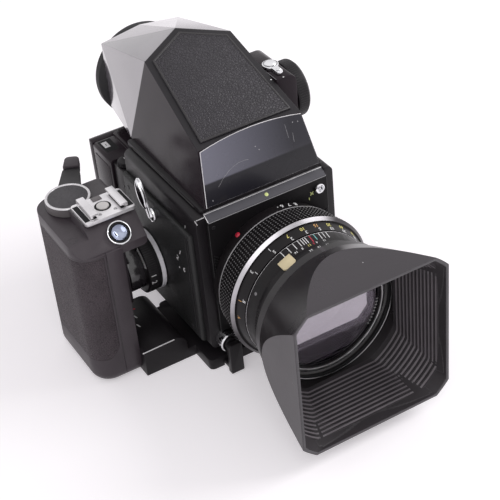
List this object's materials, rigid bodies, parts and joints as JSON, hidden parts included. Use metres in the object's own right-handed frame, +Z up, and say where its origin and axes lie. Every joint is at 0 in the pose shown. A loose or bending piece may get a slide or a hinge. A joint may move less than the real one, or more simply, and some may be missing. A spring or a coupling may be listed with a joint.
{
  "type": "medium format film camera",
  "caption": "Box-shaped single lens reflex film camera with a winding grip, a prism finder with an exposure dial, a short lens with a square hood and a roll film back.",
  "frame": {"origin": "mouth of the tripod socket, in the underside of the base plate", "axes": "+Z up, -Y the way the lens looks, +X to the right seen from the front"},
  "size_m": [0.1548, 0.2413, 0.1604],
  "materials": {
    "black_metal": "satin black paint",
    "black_cover": "fine grained black covering",
    "grey_plastic": "dark grey plastic, fine texture",
    "grip_leather": "dark grey leatherette",
    "finder_black": "satin black",
    "finder_leather": "fine grained leatherette",
    "glossy_black": "polished black",
    "bright_chrome": "polished",
    "brushed_silver": "brushed",
    "brass_bush": "turned",
    "soft_rubber": "matte",
    "inner_black": "flat black",
    "steel_parts": "plain",
    "mirror_face": "front silvered",
    "optical_glass": "coated",
    "tab_cream": "cream",
    "lens_black": "black anodised",
    "hood_black": "satin black"
  },
  "bodies": {
    "camera": {"base_plate": "black_metal", "tripod_bush": "brass_bush", "casing": "black_metal", "side_cover_right": "black_cover", "side_cover_left": "black_cover", "front_panel": "black_metal", "lens_mount_ring": "bright_chrome", "mirror_box": "inner_black", "focusing_screen": "optical_glass", "sync_socket": "bright_chrome", "strap_studs": "bright_chrome", "grip_shell": "grey_plastic", "grip_strip": "grey_plastic", "grip_skin": "grip_leather", "grip_cap": "grey_plastic", "gear_case": "grey_plastic", "accessory_shoe": "brushed_silver", "shoe_contact": "brass_bush", "release_ring": "bright_chrome", "finder_flange": "black_metal", "finder_housing": "finder_black", "prism_glass": "optical_glass", "finder_leather": "finder_leather", "finder_front_plate": "glossy_black", "eyepiece_glass": "optical_glass", "eyecup": "soft_rubber", "meter_case": "finder_black", "lens_flange": "lens_black", "back_frame": "black_metal", "back_shell": "finder_black", "film_insert": "inner_black"},
    "clamp": {"clamp_screw": "steel_parts"},
    "mirror": {"mirror_holder": "steel_parts", "reflex_mirror": "mirror_face"},
    "shutter_button_body": {"shutter_button": "black_metal"},
    "shutter_collar_body": {"shutter_collar": "bright_chrome"},
    "lens_release_body": {"lens_release": "bright_chrome"},
    "winder": {"wind_disc": "black_metal", "coupling_drum": "black_metal"},
    "speed_dial_body": {"speed_dial": "black_metal"},
    "lever": {"wind_lever": "black_metal", "lever_tip": "grey_plastic"},
    "grip_release": {"release_button": "bright_chrome"},
    "link": {"release_link": "black_metal"},
    "meter_dial_body": {"meter_dial": "black_metal"},
    "meter_switch_body": {"meter_switch": "bright_chrome"},
    "focus": {"focus_ring": "lens_black"},
    "barrel": {"lens_barrel": "lens_black", "lens_glasses": "optical_glass", "iris": "steel_parts", "filter_ring": "brushed_silver", "filter_glass": "optical_glass"},
    "aperture": {"aperture_ring": "lens_black"},
    "preview": {"lens_tab": "tab_cream"},
    "hood_body": {"hood": "hood_black"},
    "slide": {"dark_slide": "steel_parts"},
    "film_dial_body": {"film_dial": "black_metal"},
    "door": {"back_door": "finder_black"},
    "supply": {"supply_spool": "inner_black"},
    "take_up": {"take_up_spool": "inner_black"}
  },
  "joints": [
    {"name": "clamp_screw_turn", "type": "hinge", "parent": "camera", "child": "clamp", "pos_m": [0, 0.02, 0], "axis": [0, 0, 1], "continuous": true},
    {"name": "mirror_lift", "type": "hinge", "parent": "camera", "child": "mirror", "pos_m": [0, 0.046, 0.0845], "axis": [1, 0, 0], "range_deg": [-45, 0]},
    {"name": "wind_lever_swing", "type": "hinge", "parent": "camera", "child": "lever", "pos_m": [-0.0855, 0.0363, 0], "axis": [0, 0, 1], "range_deg": [0, 120]},
    {"name": "winder_turn", "type": "hinge", "parent": "camera", "child": "winder", "pos_m": [0, 0.03, 0.0425], "axis": [1, 0, 0], "range_deg": [0, 220]},
    {"name": "take_up_turn", "type": "hinge", "parent": "camera", "child": "take_up", "pos_m": [0, 0.084, 0.0685], "axis": [1, 0, 0], "range_deg": [0, 180]},
    {"name": "supply_turn", "type": "hinge", "parent": "camera", "child": "supply", "pos_m": [0, 0.084, 0.03], "axis": [1, 0, 0], "continuous": true},
    {"name": "grip_release_press", "type": "slide", "parent": "camera", "child": "grip_release", "axis": [0, 0.6757, -0.7372], "range_m": [0, 0.002], "stiffness_N_per_m": 300},
    {"name": "link_pull", "type": "slide", "parent": "camera", "child": "link", "axis": [0, 1, 0], "range_m": [0, 0.0015]},
    {"name": "shutter_button_press", "type": "slide", "parent": "camera", "child": "shutter_button_body", "axis": [0, 1, 0], "range_m": [0, 0.0015]},
    {"name": "shutter_collar_turn", "type": "hinge", "parent": "camera", "child": "shutter_collar_body", "pos_m": [-0.0338, 0, 0.0175], "axis": [0, 1, 0], "range_deg": [0, 60]},
    {"name": "lens_release_press", "type": "slide", "parent": "camera", "child": "lens_release_body", "axis": [0, 1, 0], "range_m": [0, 0.0015], "stiffness_N_per_m": 300},
    {"name": "speed_dial_turn", "type": "hinge", "parent": "camera", "child": "speed_dial_body", "pos_m": [0, 0.01, 0.05], "axis": [1, 0, 0], "range_deg": [-150, 150]},
    {"name": "meter_dial_turn", "type": "hinge", "parent": "camera", "child": "meter_dial_body", "pos_m": [0, 0.0191, 0.1235], "axis": [1, 0, 0], "range_deg": [-135, 135]},
    {"name": "meter_switch_turn", "type": "hinge", "parent": "camera", "child": "meter_switch_body", "pos_m": [0.034, 0.017, 0], "axis": [0, 0, 1], "range_deg": [0, 30]},
    {"name": "focus_turn", "type": "hinge", "parent": "camera", "child": "focus", "pos_m": [0, 0, 0.0539], "axis": [0, -1, 0], "range_deg": [0, 240]},
    {"name": "barrel_shift", "type": "slide", "parent": "camera", "child": "barrel", "axis": [0, -1, 0], "range_m": [0, 0.006]},
    {"name": "aperture_turn", "type": "hinge", "parent": "barrel", "child": "aperture", "pos_m": [0, 0, 0.0539], "axis": [0, -1, 0], "range_deg": [0, 60]},
    {"name": "preview_turn", "type": "hinge", "parent": "barrel", "child": "preview", "pos_m": [0, 0, 0.0539], "axis": [0, 1, 0], "range_deg": [0, 20]},
    {"name": "hood_slide", "type": "slide", "parent": "barrel", "child": "hood_body", "axis": [0, -1, 0], "range_m": [0, 0.03]},
    {"name": "dark_slide_pull", "type": "slide", "parent": "camera", "child": "slide", "axis": [1, 0, 0], "range_m": [0, 0.07]},
    {"name": "film_dial_turn", "type": "hinge", "parent": "camera", "child": "film_dial_body", "pos_m": [-0.038, 0.0645, 0], "axis": [0, 0, 1], "continuous": true},
    {"name": "door_open", "type": "hinge", "parent": "camera", "child": "door", "pos_m": [0, 0.0962, 0.0126], "axis": [1, 0, 0], "range_deg": [-90, 0]}
  ],
  "couplings": [
    {"joint": "winder_turn", "follows": "wind_lever_swing", "ratio": 1.8},
    {"joint": "take_up_turn", "follows": "wind_lever_swing", "ratio": 1.5},
    {"joint": "link_pull", "follows": "grip_release_press", "ratio": 0.75},
    {"joint": "shutter_button_press", "follows": "grip_release_press", "ratio": 0.75},
    {"joint": "barrel_shift", "follows": "focus_turn", "m_per_rad": 0.00143}
  ]
}
